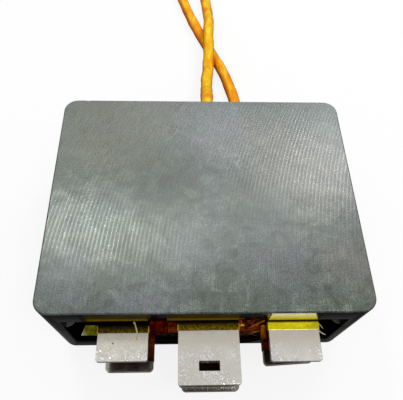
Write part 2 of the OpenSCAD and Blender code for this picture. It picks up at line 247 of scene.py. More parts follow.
def linear(hex_colour):
    """Linear red, green, blue and alpha of an sRGB colour such as #8a8f8c."""
    parts = [int(hex_colour[i:i + 2], 16) / 255 for i in (1, 3, 5)]
    return [c / 12.92 if c <= 0.04045 else ((c + 0.055) / 1.055) ** 2.4 for c in parts] + [1]


def wire(tree, node, inputs):
    """Sets a node's inputs. Each takes a number, a vector, a hex colour or another node's output."""
    for name, value in inputs.items():
        if isinstance(value, bpy.types.NodeSocket):
            tree.links.new(value, node.inputs[name])
        elif isinstance(value, str):
            node.inputs[name].default_value = linear(value)
        else:
            node.inputs[name].default_value = value


def add(tree, kind, inputs, out=0, **settings):
    """Adds a node with its settings and inputs and returns one of its outputs."""
    made = tree.nodes.new("ShaderNode" + kind)
    for name, value in settings.items():
        setattr(made, name, value)
    wire(tree, made, inputs)
    return made.outputs[out]


def new_material(name):
    """An empty material, its tree and its surface shader."""
    material = bpy.data.materials.new(name)
    material.use_nodes = True
    tree = material.node_tree
    return material, tree, tree.nodes["Principled BSDF"]


def per(millimetres):
    """A texture scale whose features are about that many millimetres apart."""
    return 1 / (millimetres * MM)


def faded(tree, colour, fades):
    """A colour that fades to others. Each fade is a direction, the distances along it in
    millimetres between which it grows, and its colour."""
    here = add(tree, "TexCoord", {}, "Object")
    for way, start, end, other in fades:
        along = add(tree, "VectorMath", {0: here, 1: way}, "Value", operation="DOT_PRODUCT")
        share = add(tree, "MapRange", {0: along, 1: start * MM, 2: end * MM})
        colour = add(tree, "Mix", {0: share, 6: colour, 7: other}, 2, data_type="RGBA")
    return colour


print("material helpers ready")

# %% [markdown]
# Ferrite.
# A core half is pressed from ferrite powder, sintered, and then ground flat. Sintered faces are
# almost black and glossy. The ground face is paler, and the wheel has left arcs on it, all of
# one large radius, which shine where they turn a lamp's light to the eye. One material with a
# mask could hold both, but gloss and refraction differ too, so each finish has its own. The
# ground one is built up in steps, from the wheel's arcs to the stains.

# %% The wheel's arcs
GRIND_RADIUS = 114 * MM
GRIND_PITCH = 0.83 * MM
ARC_WANDER = 0.25 * GRIND_PITCH
ARC_WANDER_MM = 9


def across_arcs(tree, here):
    """How far a place lies across the arcs, so that they can be drawn as straight lines."""
    axis = add(tree, "SeparateXYZ", {0: here}).node.outputs
    depth = add(tree, "Math", {0: axis["Y"], 1: front_y}, operation="SUBTRACT")
    square = add(tree, "Math", {0: depth, 1: depth}, operation="MULTIPLY")
    rest = add(tree, "Math", {0: GRIND_RADIUS**2, 1: square}, operation="SUBTRACT")
    root = add(tree, "Math", {0: rest}, operation="SQRT")
    sag = add(tree, "Math", {0: GRIND_RADIUS, 1: root}, operation="SUBTRACT")
    across = add(tree, "Math", {0: axis["X"], 1: sag}, operation="SUBTRACT")
    wander = add(tree, "TexNoise", {"Vector": here, "Scale": per(ARC_WANDER_MM), "Detail": 2})
    shift = add(tree, "Math", {0: wander, 1: ARC_WANDER}, operation="MULTIPLY")
    return add(tree, "Math", {0: across, 1: shift}, operation="ADD")


print("arcs of", round(GRIND_RADIUS / MM), "mm radius every", round(GRIND_PITCH / MM, 2), "mm")

# %% Grooves
WORN_MM = 7
# Where the wheel scored the face: the middle, how far that reaches in millimetres, how deep it is
SCORED = [
    ((25, 2), 15, 0.65), ((15, 16), 14, 1.05), ((11, 7), 10, 1.0), ((-23, 2.5), 8, 1.1),
    ((-22, -4), 17, 0.63), ((-13, -7), 15, 0.74), ((14, -28), 20, 0.8),
]
# A scored patch ends at the first share of its reach and is fully deep at the second
PATCH_END, PATCH_FULL = 1.2, 0.6
GROOVE_SHARPNESS = 2.5
# The flats between the grooves lie at 0.7, and a groove goes down by 2
FLAT, GROOVE = 0.7, -2


def cut_depth(tree, here):
    """How deep the grooves are: worn shallow nearly everywhere, and deep in the scored patches."""
    worn = add(tree, "TexNoise", {"Vector": here, "Scale": per(WORN_MM), "Detail": 4})
    deep = add(tree, "MapRange", {0: worn, **USUAL, 3: 0.45, 4: 0.22})
    for (x, y), reach, cut in SCORED:
        middle = (x * MM, y * MM, core_high.z)
        far = add(tree, "VectorMath", {0: here, 1: middle}, "Value", operation="DISTANCE")
        limits = {1: PATCH_END * reach * MM, 2: PATCH_FULL * reach * MM, 4: cut}
        patch = add(tree, "MapRange", {0: far, **limits})
        deep = add(tree, "Math", {0: deep, 1: patch}, operation="MAXIMUM")
    return deep


def grooves(tree, phase, deep, grain):
    """Narrow grooves between wide flats, as deep as the wheel cut and broken up by the grain."""
    swing = add(tree, "Math", {0: phase}, operation="SINE")
    half = add(tree, "Math", {0: swing, 1: 0.5, 2: 0.5}, operation="MULTIPLY_ADD")
    narrow = add(tree, "Math", {0: half, 1: GROOVE_SHARPNESS}, operation="POWER")
    wave = add(tree, "Math", {0: narrow, 1: GROOVE, 2: FLAT}, operation="MULTIPLY_ADD")
    wave = add(tree, "Math", {0: wave, 1: deep}, operation="MULTIPLY")
    gaps = add(tree, "MapRange", {0: grain, **USUAL, 3: 0.3, 4: 1.7})
    return add(tree, "Math", {0: wave, 1: gaps}, operation="MULTIPLY")


print("scored patches:", len(SCORED))

# %% [markdown]
# The greys of the ground face.
# Clean ferrite would be one grey, but cutting fluid has dried on it in clouds of green, blue
# and brown, with dark smudges and a pale bloom, and the face turns paler towards the back. A
# picture could hold all that. Layers of noise do too, each one laid over the last by its own
# share, and they have no edge and no seam.

# %% Greys
CLOUD_MM, TINT_MM = 13, 10
# The face turns paler towards the back between these distances along y, which drift with the clouds
BACK_DRIFT = 14 * MM
PALE_FROM, PALE_FULL = 10 * MM, 24 * MM


def ground_greys(tree, here, mottle):
    """The colour of the face without its stains."""
    along = add(tree, "SeparateXYZ", {0: here}, "Y")
    clouds = add(tree, "TexNoise", {"Vector": here, "Scale": per(CLOUD_MM), "Detail": 5})
    tint = add(tree, "TexNoise", {"Vector": here, "Scale": per(TINT_MM), "Detail": 3}, "Color")
    tints = add(tree, "SeparateColor", {0: tint}).node.outputs
    towards_back = add(tree, "Math", {0: clouds, 1: BACK_DRIFT, 2: along}, operation="MULTIPLY_ADD")
    # Each layer: what it follows, where it starts and is full, how well it covers, its colour
    green = (tints["Red"], 0.46, 0.62, 0.5, "#455746")
    blue = (tints["Blue"], 0.5, 0.64, 0.6, "#4a565a")
    brown = (tints["Green"], 0.5, 0.64, 0.5, "#4f5045")
    smudge = (mottle, 0.52, 0.6, 0.8, "#2e352e")
    bloom = (mottle, 0.47, 0.39, 0.7, "#6a766b")
    # A paler tone towards the back
    paler_back = (towards_back, PALE_FROM, PALE_FULL, 0.7, "#747c7a")
    pale = add(tree, "MapRange", {0: clouds, 1: 0.35, 2: 0.66})
    grey = add(tree, "Mix", {0: pale, 6: "#404a42", 7: "#4f5950"}, 2, data_type="RGBA")
    for follows, start, full, cover, colour in (green, blue, brown, smudge, bloom, paler_back):
        share = add(tree, "MapRange", {0: follows, 1: start, 2: full, 4: cover})
        grey = add(tree, "Mix", {0: share, 6: grey, 7: colour}, 2, data_type="RGBA")
    return grey


print("grey clouds about", CLOUD_MM, "mm apart")

# %% Stains and cracks
# Stains that coolant left: the middle, the reach in millimetres, the colour, how well it covers
STAINS = [
    ((-21, 16), 16, "#727364", 0.7),
    ((-11, 23), 9, "#80827c", 0.5),
    ((4, 18), 11, "#828588", 0.7),
    ((14, 15), 7, "#7a766e", 0.5),
    ((22, 5), 12, "#736f69", 0.6),
    ((-9, 1), 9, "#363e38", 0.45),
    ((11, -2), 8, "#363e38", 0.5),
    ((-3, -11), 7, "#6c6e72", 0.6),
    ((15, -15), 9, "#606268", 0.6),
    ((29, -16), 8, "#6c6864", 0.7),
    ((-27, -18), 6, "#64666c", 0.7),
    ((-11, -23), 6, "#66686e", 0.7),
]
# The first one is a film that also calms the grain under it
FILM_COVER = STAINS[0][3]
PATCHY_MM = 4
# The mottling draws a stain's edge in by up to the first value. The second is added to the
# reach, where the stain ends, and the third to half the reach, where it is full.
RAGGED_MM, STAIN_END_MM, STAIN_FULL_MM = 14, 8.5, 6
CRACK_WIDTH = 0.014


def stained(tree, here, mottle, grey):
    """A grey with the stains and their cracks, and how well the film covers it."""
    rough_noise = {"Vector": here, "Scale": per(PATCHY_MM), "Detail": 5, "Roughness": 0.6}
    patchy = add(tree, "TexNoise", rough_noise)
    holding = add(tree, "MapRange", {0: patchy, 1: 0.4, 2: 0.6, 3: 0.6, 4: 1.2})
    ragged = add(tree, "Math", {0: mottle, 1: RAGGED_MM * MM}, operation="MULTIPLY")
    covers = []
    for (x, y), reach, colour, cover in STAINS:
        middle = (x * MM, y * MM, core_high.z)
        far = add(tree, "VectorMath", {0: here, 1: middle}, "Value", operation="DISTANCE")
        edge = add(tree, "Math", {0: far, 1: ragged}, operation="ADD")
        limits = {1: (reach + STAIN_END_MM) * MM, 2: (reach / 2 + STAIN_FULL_MM) * MM, 4: cover}
        covers.append(add(tree, "MapRange", {0: edge, **limits}))
        held = add(tree, "Math", {0: covers[-1], 1: holding}, operation="MULTIPLY")
        grey = add(tree, "Mix", {0: held, 6: grey, 7: colour}, 2, data_type="RGBA")
    # Fine cracks follow the lines along which the mottling has its middle value
    even = add(tree, "Math", {0: mottle, 1: 0.5}, operation="SUBTRACT")
    near = add(tree, "Math", {0: even}, operation="ABSOLUTE")
    crack = add(tree, "MapRange", {0: near, 1: CRACK_WIDTH, 2: 0.0, 4: 0.7})
    torn = add(tree, "MapRange", {0: patchy, 1: 0.5, 2: 0.57})
    crack = add(tree, "Math", {0: crack, 1: torn}, operation="MULTIPLY")
    cracked = add(tree, "Mix", {0: crack, 6: grey, 7: "#2a302a"}, 2, data_type="RGBA")
    return cracked, covers[0]


print("stains:", len(STAINS))

# %% [markdown]
# The ground finish as a whole.
# To the eye it is a satin grey with rows of fine glints. A groove differs from the flats in
# three things: it is a little paler, smoother, and lower in the bump. Anisotropy stretches the
# highlights, as real grinding lines do. Ferrite's own grain is finer than 0.05 mm, so it is
# drawn several times coarser here, or it would not show.

# %% Ground ferrite
GRAIN_MM, MOTTLE_MM = 0.28, 3.2
STREAK_WIDE_MM, STREAK_LONG_MM = 0.4, 3
GRIND_BUMP = 0.015 * MM
# How far grooves, streaks and thin lines change the tone, and how much deep cuts add to the grain
GROOVE_TONE, STREAK_TONE, THIN_TONE, DEEP_GRAIN = -0.1, 0.35, 0.06, 1.1
# The range of tones, and what the grey is multiplied by at its ends
TONES = {1: 0.225, 2: 1.125, 3: 0.1, 4: 1.9}
# How much grooves and grain add to the streaks' bump
GROOVE_RELIEF, GRAIN_RELIEF = 0.1, 0.4


def ground_ferrite_material():
    material, tree, shader = new_material("ferrite_ground")
    here = add(tree, "TexCoord", {}, "Object")
    along = add(tree, "SeparateXYZ", {0: here}, "Y")
    across = across_arcs(tree, here)
    deep = cut_depth(tree, here)
    grain = add(tree, "TexNoise", {"Vector": here, "Scale": per(GRAIN_MM), "Detail": 3})
    phase = add(tree, "Math", {0: across, 1: math.tau / GRIND_PITCH}, operation="MULTIPLY")
    wave = grooves(tree, phase, deep, grain)
    twice = add(tree, "Math", {0: phase, 1: 2}, operation="MULTIPLY")
    thin = add(tree, "Math", {0: twice}, operation="SINE")
    lines = add(tree, "CombineXYZ", {"X": across, "Y": along})
    stretch = (per(STREAK_WIDE_MM), per(STREAK_LONG_MM), 1)
    drawn = add(tree, "Mapping", {"Vector": lines, "Scale": stretch})
    streaks = add(tree, "TexNoise", {"Vector": drawn, "Scale": 1, "Detail": 3})
    mottling = {"Scale": per(MOTTLE_MM), "Detail": 8, "Roughness": 0.68, "Distortion": 0.5}
    mottle = add(tree, "TexNoise", {"Vector": here, **mottling})
    grey, calm = stained(tree, here, mottle, ground_greys(tree, here, mottle))
    # Light and dark: grooves, streaks and thin lines, then the grain, which shows more in deep cuts
    lit = add(tree, "Math", {0: wave, 1: GROOVE_TONE, 2: 0.5}, operation="MULTIPLY_ADD")
    lit = add(tree, "Math", {0: streaks, 1: STREAK_TONE, 2: lit}, operation="MULTIPLY_ADD")
    lit = add(tree, "Math", {0: thin, 1: THIN_TONE, 2: lit}, operation="MULTIPLY_ADD")
    crisp = add(tree, "MapRange", {0: calm, 2: FILM_COVER, 3: 1.0, 4: 0.6})
    crisp = add(tree, "Math", {0: deep, 1: DEEP_GRAIN, 2: crisp}, operation="MULTIPLY_ADD")
    fine = add(tree, "Math", {0: grain, 1: 0.5}, operation="SUBTRACT")
    speck = add(tree, "Math", {0: fine, 1: crisp, 2: lit}, operation="MULTIPLY_ADD")
    shade = add(tree, "MapRange", {0: speck, **TONES})
    colour = add(tree, "Mix", {0: 1, 6: grey, 7: shade}, 2, data_type="RGBA", blend_type="MULTIPLY")
    rough = add(tree, "MapRange", {0: mottle, **USUAL, 3: 0.28, 4: 0.31})
    broken = add(tree, "MapRange", {0: grain, **USUAL, 3: 0.0, 4: 0.11})
    rough = add(tree, "Math", {0: wave, 1: broken, 2: rough}, operation="MULTIPLY_ADD")
    rough = add(tree, "Math", {0: grain, 1: 0.1, 2: rough}, operation="MULTIPLY_ADD")
    height = add(tree, "Math", {0: wave, 1: GROOVE_RELIEF, 2: streaks}, operation="MULTIPLY_ADD")
    height = add(tree, "Math", {0: grain, 1: GRAIN_RELIEF, 2: height}, operation="MULTIPLY_ADD")
    wire(tree, shader, {
        "Base Color": colour,
        "Roughness": rough,
        "Normal": add(tree, "Bump", {"Height": height, "Distance": GRIND_BUMP, "Strength": 1}),
        "Tangent": add(tree, "CombineXYZ", {"X": 1}),
        "Anisotropic": 0.8,
        "IOR": 1.8,
    })
    return material


ground_ferrite = ground_ferrite_material()
print("made", ground_ferrite.name)

# %% Sintered ferrite
# Fired skin: black, with a soft gloss and shallow waves and pits
SKIN_WAVE_MM, SKIN_PIT_MM = 4, 0.7
SKIN_BUMP = 0.03 * MM


def sintered_ferrite_material():
    material, tree, shader = new_material("ferrite_sintered")
    here = add(tree, "TexCoord", {}, "Object")
    clouds = add(tree, "TexNoise", {"Vector": here, "Scale": per(SKIN_WAVE_MM), "Detail": 5})
    pits = add(tree, "TexNoise", {"Vector": here, "Scale": per(SKIN_PIT_MM), "Detail": 4})
    wavy = add(tree, "Math", {0: pits, 1: 0.15, 2: clouds}, operation="MULTIPLY_ADD")
    amount = add(tree, "MapRange", {0: clouds, **USUAL})
    wire(tree, shader, {
        "Base Color": add(tree, "Mix", {0: amount, 6: "#070706", 7: "#10100f"}, 2, data_type="RGBA"),
        "Roughness": add(tree, "MapRange", {0: pits, 1: 0.3, 2: 0.7, 3: 0.1, 4: 0.2}),
        "Normal": add(tree, "Bump", {"Height": wavy, "Distance": SKIN_BUMP, "Strength": 0.4}),
        "IOR": 1.12,
    })
    return material


sintered_ferrite = sintered_ferrite_material()
print("made", sintered_ferrite.name)

# %% [markdown]
# Tin on copper.
# The turns are stamped from copper sheet and dipped in tin. Tin is a white metal with a soft
# sheen, a little cloudy. Towards the tabs' ends, where the dip ran together, it is thicker and
# froze into small crystals. Painted dots would look the same from all sides, so the crystals
# are cells whose faces lean a little, each its own way, and some of them catch a lamp. A few
# of them are also painted bright, as glints.

# %% Hot-dipped tin
# How far out from the core the tin starts to be thick, and where it is thickest
THICK_FROM, THICK_AT = 3.8 * MM, 5.7 * MM
TIN_CLOUD_MM, TIN_PATCH_MM, TIN_GRAIN_MM = 2.6, 2.2, 0.4
CRYSTAL_MM = 0.21
TIN_BUMP = 0.006 * MM
# A grain of soot that the solder left on the upper left tab
SOOT_AT = Vector((-17.8, -29.1, 19.8)) * MM
SOOT_SIZE = 0.21 * MM


def tin_material(name, dull, clean, bright, shine, crystal_lean, fades=()):
    material, tree, shader = new_material(name)
    here = add(tree, "TexCoord", {}, "Object")
    along = add(tree, "SeparateXYZ", {0: here}, "Y")
    # Thick tin in patches near the tabs' ends
    patchy = add(tree, "TexNoise", {"Vector": here, "Scale": per(TIN_PATCH_MM), "Detail": 2})
    some = add(tree, "MapRange", {0: patchy, 1: 0.38, 2: 0.56})
    out = add(tree, "Math", {0: front_y, 1: along}, operation="SUBTRACT")
    near_end = add(tree, "MapRange", {0: out, 1: THICK_FROM, 2: THICK_AT})
    frosted = add(tree, "Math", {0: some, 1: near_end}, operation="MULTIPLY")
    # Crystals that lean
    crystals = {"Vector": here, "Scale": per(CRYSTAL_MM), "Randomness": 1}
    chance = add(tree, "TexVoronoi", crystals, "Color")
    lean = add(tree, "MapRange", {0: frosted, 3: 0.04, 4: crystal_lean})
    aside = add(tree, "VectorMath", {0: chance, 1: (0.5, 0.5, 0.5)}, operation="SUBTRACT")
    leaning = add(tree, "VectorMath", {0: aside, "Scale": lean}, operation="SCALE")
    upright = add(tree, "NewGeometry", {}, "Normal")
    facing = add(tree, "VectorMath", {0: upright, 1: leaning}, operation="ADD")
    facet = add(tree, "VectorMath", {0: facing}, operation="NORMALIZE")
    # Colour: clouds, brighter ends, a few crystals painted bright as glints, and the soot
    clouds = add(tree, "TexNoise", {"Vector": here, "Scale": per(TIN_CLOUD_MM), "Detail": 4})
    cloudy = add(tree, "MapRange", {0: clouds, **USUAL})
    picked = add(tree, "SeparateColor", {0: chance}, "Red")
    shining = add(tree, "MapRange", {0: picked, 1: 0.74, 2: 0.82})
    painted_glint = add(tree, "Math", {0: shining, 1: frosted}, operation="MULTIPLY")
    far = add(tree, "VectorMath", {0: here, 1: SOOT_AT}, "Value", operation="DISTANCE")
    soot = add(tree, "MapRange", {0: far, 1: SOOT_SIZE, 2: 0.5 * SOOT_SIZE})
    colour = add(tree, "Mix", {0: cloudy, 6: dull, 7: clean}, 2, data_type="RGBA")
    for share, other in ((near_end, bright), (painted_glint, shine), (soot, "#646056")):
        colour = add(tree, "Mix", {0: share, 6: colour, 7: other}, 2, data_type="RGBA")
    rough = add(tree, "MapRange", {0: clouds, 1: 0.3, 2: 0.7, 3: 0.24, 4: 0.18})
    grain = add(tree, "TexNoise", {"Vector": here, "Scale": per(TIN_GRAIN_MM), "Detail": 3})
    grainy = {"Height": grain, "Distance": TIN_BUMP, "Strength": 0.7, "Normal": facet}
    wire(tree, shader, {
        "Base Color": faded(tree, colour, fades),
        "Roughness": add(tree, "Math", {0: frosted, 1: -0.05, 2: rough}, operation="MULTIPLY_ADD"),
        "Normal": add(tree, "Bump", grainy),
        "Metallic": 1,
    })
    return material


# Warm white metal with glints near the tabs' ends
tin = tin_material("tin_hot_dipped_on_copper", "#d5cfc1", "#ded7ca", "#e6e2d9", "#ffffff", 0.19)
# Painted shade for the lower turns under the upper tabs: grey tin, with painted light on its left end
shaded_tin = tin_material(
    "tin_hot_dipped_painted_in_shade", "#645f56", "#847f74", "#8e897e", "#b4afa6", 0.05,
    [(LEFT, 19.0, 19.6, "#d6d2c8")])
print("made", tin.name, shaded_tin.name)

# %% [markdown]
# Polyimide.
# The tape and the films are polyimide, a clear plastic of a strong amber colour. Over tin the
# light passes through the film twice, so the metal looks like gold under varnish. Real
# transparency would show that too, but films this thin render slowly and full of specks. A
# partly metallic base with a glossy coat gives the same look. Shade is painted into most of
# these colours, and reflections into some: they fade dark along a direction where tape runs
# back under the core or lies in shadow, and lit and shaded copies of one tape stand for how
# the light falls on it.

# %% Polyimide tape
RIPPLE_MM = 1.3
RIPPLE_BUMP = 0.05 * MM


def tape_material(name, dark, bright, metallic, gloss, blotch_mm, fades=()):
    material, tree, shader = new_material(name)
    here = add(tree, "TexCoord", {}, "Object")
    blotches = add(tree, "TexNoise", {"Vector": here, "Scale": per(blotch_mm), "Detail": 4})
    ripple = add(tree, "TexNoise", {"Vector": here, "Scale": per(RIPPLE_MM), "Detail": 2})
    amount = add(tree, "MapRange", {0: blotches, 1: 0.36, 2: 0.64})
    colour = add(tree, "Mix", {0: amount, 6: dark, 7: bright}, 2, data_type="RGBA")
    wire(tree, shader, {
        "Base Color": faded(tree, colour, fades),
        "Normal": add(tree, "Bump", {"Height": ripple, "Distance": RIPPLE_BUMP, "Strength": 0.6}),
        "Metallic": metallic,
        "Roughness": 0.3,
        "Specular IOR Level": gloss,
        "Coat Weight": gloss,
        "Coat Roughness": 0.1,
    })
    return material


print("tape ripples about", RIPPLE_MM, "mm apart")

# %% Tape on the tabs
front_mm = front_y / MM
# Along the loose flag, from its root to its free corner
FLAGWARD = (-0.8, -0.6, 0)
# The lit copy of the tabs' tape: clear yellow, with painted shade where it meets the core
bright_tape = tape_material(
    "polyimide_tape_on_tin_painted_lit", "#d2c408", "#eedf0c", 0.5, 0.1, 1.6,
    [(BACKWARDS, front_mm - 0.6, front_mm - 0.3, "#3a2802")])
# The shaded copy: speckled olive, with painted shade that goes black towards the core
olive_tape = tape_material(
    "polyimide_tape_on_tin_painted_in_shade", "#3a2803", "#78620a", 0.5, 0.1, 0.4,
    [(BACKWARDS, front_mm - 1.7, front_mm - 0.4, "#0c0602")])
# The shaded copy painted a little lighter where more light falls on it, with the same painted shade towards
# the core
lit_olive_tape = tape_material(
    "polyimide_tape_on_tin_painted_half_lit", "#4e3a04", "#8e7808", 0.5, 0.1, 0.4,
    [(BACKWARDS, front_mm - 1.3, front_mm - 0.3, "#0c0602")])
# On the lower tabs: dark red-brown with painted shade, darker outwards under the upper tabs
red_tape = tape_material(
    "polyimide_tape_painted_in_shade_on_lower_tabs", "#5a1802", "#843406", 0.2, 0.05, 1.1,
    [(FORWARDS, -front_mm + 2.2, -front_mm + 5.2, "#240e03")])
# A loose end: dull olive yellow with a pale torn corner
flag_tape = tape_material(
    "polyimide_tape_loose", "#5c5a0c", "#86801a", 0.2, 0.2, 0.9,
    [(FLAGWARD, 34.6, 35.3, "#c8c8a4")])
# Torn slivers: pale yellow, because they are thin and lit from both sides
thread_tape = tape_material("polyimide_tape_torn", "#b8ae3c", "#e2dca4", 0.0, 0.2, 1.4)
print("made", bright_tape.name, olive_tape.name, lit_olive_tape.name)
print("made", red_tape.name, flag_tape.name, thread_tape.name)

# %% Tape on the core's front face
window_down = -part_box("right_face_tape")[0].z / MM
# To the right and up, as far as the tape's edge leans
LEANING = (1, 0, 0.33)
# In the core's own shade: brown, with a painted reflection of the tab's tape as a gold band, over a painted
# shadow along the lower edge
face_tape = tape_material(
    "polyimide_tape_on_ferrite", "#362806", "#523e08", 0.3, 0.0, 2.5,
    [(DOWN, window_down - 2.8, window_down - 1.1, "#a88408"),
     (DOWN, window_down - 1.0, window_down - 0.7, "#080401"),
     (LEFT, 22.2, 22.8, "#0a0a08")])
# A painted reflection of the lit tab below: almost white above, bright yellow below, with a painted shadow
# along the lower edge and a dark right edge
bright_face_tape = tape_material(
    "polyimide_tape_on_ferrite_with_painted_reflection", "#eeeedc", "#f6f6ea", 0.3, 0.0, 2.5,
    [(DOWN, window_down - 3.8, window_down - 1.3, "#e6d810"),
     (DOWN, window_down - 0.6, window_down - 0.3, "#241802"),
     (LEANING, 28.6, 28.9, "#0a0a08")])
print("made", face_tape.name, bright_face_tape.name)

# %% Tape over the winding, and film
# Over litz in the open: amber
amber_tape = tape_material("polyimide_tape_over_litz", "#a8480a", "#e08a1c", 0.1, 0.3, 1.1)
# Over litz in the dark: deep red, with painted shade that goes black downwards
deep_tape = tape_material(
    "polyimide_tape_over_litz_painted_in_shade", "#2e0501", "#561002", 0.3, 0.0, 1.0,
    [(DOWN, -18.2, -17.6, "#080100")])
# Folded over itself: dark red-brown with a soft metal sheen, and painted shade that darkens it downwards
gold_tape = tape_material(
    "polyimide_tape_folded", "#320901", "#782a02", 0.5, 0.05, 0.9,
    [(DOWN, -18.8, -17.8, "#1a0501")])
# The back of a fold: a gold line painted where it catches the light, with painted shade that darkens it to
# the left
fold_tape = tape_material(
    "polyimide_tape_fold", "#8a4804", "#c4800c", 0.3, 0.1, 1.2,
    [(LEFT, -9.6, -8.2, "#5e2404")])
# A fold that faces a lamp: yellow, a painted highlight
glint_tape = tape_material("polyimide_tape_fold_in_the_light", "#d89608", "#f0c41c", 0.2, 0.2, 1.2)
# A strip that hangs down: orange at its top, with painted shade that makes it nearly black at its end
strip_tape = tape_material(
    "polyimide_tape_folded_down", "#984604", "#c06e0c", 0.3, 0.0, 1.0,
    [(DOWN, -17.9, -15.5, "#5a2003"), (DOWN, -15.5, -13.5, "#2a0c02")])
# Films between the layers show only their dark brown edges
film = tape_material("polyimide_film", "#3c2004", "#5a3408", 0.0, 0.1, 3.0)
print("made", amber_tape.name, deep_tape.name, gold_tape.name, fold_tape.name)
print("made", glint_tape.name, strip_tape.name, film.name)

# %% [markdown]
# Litz under tape.
# Coils and leads are made of the same wire: hundreds of enamelled strands under a wrap of
# thin polyimide tape. The coils are amber at the back, and at the front, between the core
# halves, they sit in the dark, which is painted in as shade that makes them almost black. The
# leads lie in the open and glow orange to yellow, darker along the wrap's steps and with painted
# shade that deepens their colour on their sides. A drawn stripe could not follow their bends,
# so the steps come from the attribute that the leads' mesh carries.

# %% Wrapped litz
WRAP_BLOTCH_MM = 5
# The leads run front to back, so the strands' pattern is drawn out that way
STRAND_DRAW = (1, 0.3, 1)
# A wrap's step is this share of a turn wide
STEP_WIDTH = 0.12
STRAND_BUMP = 0.1 * MM


def litz_material(name, deep, warm, pale, under, gloss, strand_mm, fades=()):
    material, tree, shader = new_material(name)
    here = add(tree, "TexCoord", {}, "Object")
    broad = add(tree, "TexNoise", {"Vector": here, "Scale": per(WRAP_BLOTCH_MM), "Detail": 3})
    drawn = add(tree, "Mapping", {"Vector": here, "Scale": STRAND_DRAW})
    fine = add(tree, "TexNoise", {"Vector": drawn, "Scale": per(strand_mm), "Detail": 4})
    lap = add(tree, "Attribute", {}, "Fac", attribute_name="lap")
    upward = add(tree, "SeparateXYZ", {0: add(tree, "NewGeometry", {}, "Normal")}, "Z")
    warmth = add(tree, "MapRange", {0: broad, **USUAL})
    sheen = add(tree, "MapRange", {0: fine, 1: 0.45, 2: 0.7})
    edge = add(tree, "MapRange", {0: lap, 1: STEP_WIDTH, 2: 0.0, 4: 0.25})
    # Painted shade: the sides and undersides take a deeper colour
    turned = add(tree, "MapRange", {0: upward, 1: 0.8, 2: 0.1})
    colour = add(tree, "Mix", {0: warmth, 6: deep, 7: warm}, 2, data_type="RGBA")
    for share, other in ((sheen, pale), (edge, deep), (turned, under)):
        colour = add(tree, "Mix", {0: share, 6: colour, 7: other}, 2, data_type="RGBA")
    wire(tree, shader, {
        "Base Color": faded(tree, colour, fades),
        "Normal": add(tree, "Bump", {"Height": fine, "Distance": STRAND_BUMP, "Strength": 0.4}),
        "Roughness": 0.4,
        "Specular IOR Level": gloss,
        "Coat Weight": 0.5 * gloss,
        "Coat Roughness": 0.2,
    })
    return material


# One layer of tape: orange and yellow
lead_wrap = litz_material(
    "litz_wrapped_in_bright_tape", "#fb930a", "#ffbf12", "#ffe43c", "#f87404", 0.1, 1.4)
# Two layers: a deeper orange
deep_lead_wrap = litz_material(
    "litz_wrapped_in_deep_tape", "#fa8708", "#ffaa10", "#ffd234", "#f86a04", 0.1, 1.4)
# Wound and bound: brown amber without gloss, with painted shade that makes it almost black at the front
coil_wrap = litz_material(
    "litz_wound_and_taped", "#7a3406", "#a8580c", "#cc841c", "#7a3406", 0.01, 1.2,
    [(FORWARDS, 15, 20, "#120602")])
print("made", lead_wrap.name, deep_lead_wrap.name, coil_wrap.name)

# %% [markdown]
# Two small finishes are left. The leads' ends are dipped in solder, which leaves a dull grey
# metal with the twist of the strands under it. The twist could be modelled, but at this size
# bump does. The shims in the core's joint are polyester film, pale and smooth.

# %% Solder-dipped strands and shim film
STRAND_PITCH = 0.5 * MM
# A wave texture of scale 1 has a band about every third of a unit
WAVE_PITCH = 0.314
TWIST_BUMP = 0.08 * MM
SOLDER_CLOUD_MM, SHIM_CLOUD_MM = 1.1, 2


def solder_material():
    material, tree, shader = new_material("solder_dipped_strands")
    here = add(tree, "TexCoord", {}, "Object")
    strands = {"Vector": here, "Scale": WAVE_PITCH / STRAND_PITCH, "Distortion": 1.5}
    twist = add(tree, "TexWave", strands, bands_direction="DIAGONAL")
    dull = add(tree, "TexNoise", {"Vector": here, "Scale": per(SOLDER_CLOUD_MM), "Detail": 3})
    wire(tree, shader, {
        "Base Color": add(tree, "Mix", {0: dull, 6: "#8c8a85", 7: "#cfccc6"}, 2, data_type="RGBA"),
        "Normal": add(tree, "Bump", {"Height": twist, "Distance": TWIST_BUMP, "Strength": 0.6}),
        "Metallic": 1,
        "Roughness": 0.38,
    })
    return material


def shim_material():
    material, tree, shader = new_material("polyester_shim_film")
    here = add(tree, "TexCoord", {}, "Object")
    cloud = add(tree, "TexNoise", {"Vector": here, "Scale": per(SHIM_CLOUD_MM), "Detail": 3})
    wire(tree, shader, {
        "Base Color": add(tree, "Mix", {0: cloud, 6: "#4a4a42", 7: "#77766a"}, 2, data_type="RGBA"),
        "Roughness": 0.3,
    })
    return material


solder = solder_material()
shim = shim_material()
print("made", solder.name, shim.name)

# %% [markdown]
# Finishes on the frame's own pieces.
# Each solid could get its material by name. The record already names a material slot for each
# node, so one table from slot to material covers every solid that stays as it is, and a second
# one holds the tapes that look different from the rest.

# %% Finish by slot
FINISHES = {
    "ferrite": sintered_ferrite,
    "tinned_copper": tin,
    "polyimide_film": film,
    "polyimide_tape": olive_tape,
    "wrapped_litz": coil_wrap,
    "lead_wrap": lead_wrap,
    "tinned_litz": solder,
    "shim_film": shim,
}
OTHER_TAPES = {
    "upper_right_tape": bright_tape,
    "upper_centre_tape": lit_olive_tape,
    "left_face_tape": face_tape,
    "centre_face_tape": face_tape,
    "right_face_tape": bright_face_tape,
    "lower_left_tape": red_tape,
    "lower_centre_tape": red_tape,
    "lower_right_tape": red_tape,
}


def finish_with(piece, material):
    """Gives the whole piece one material."""
    piece.data.materials.clear()
    piece.data.materials.append(material)


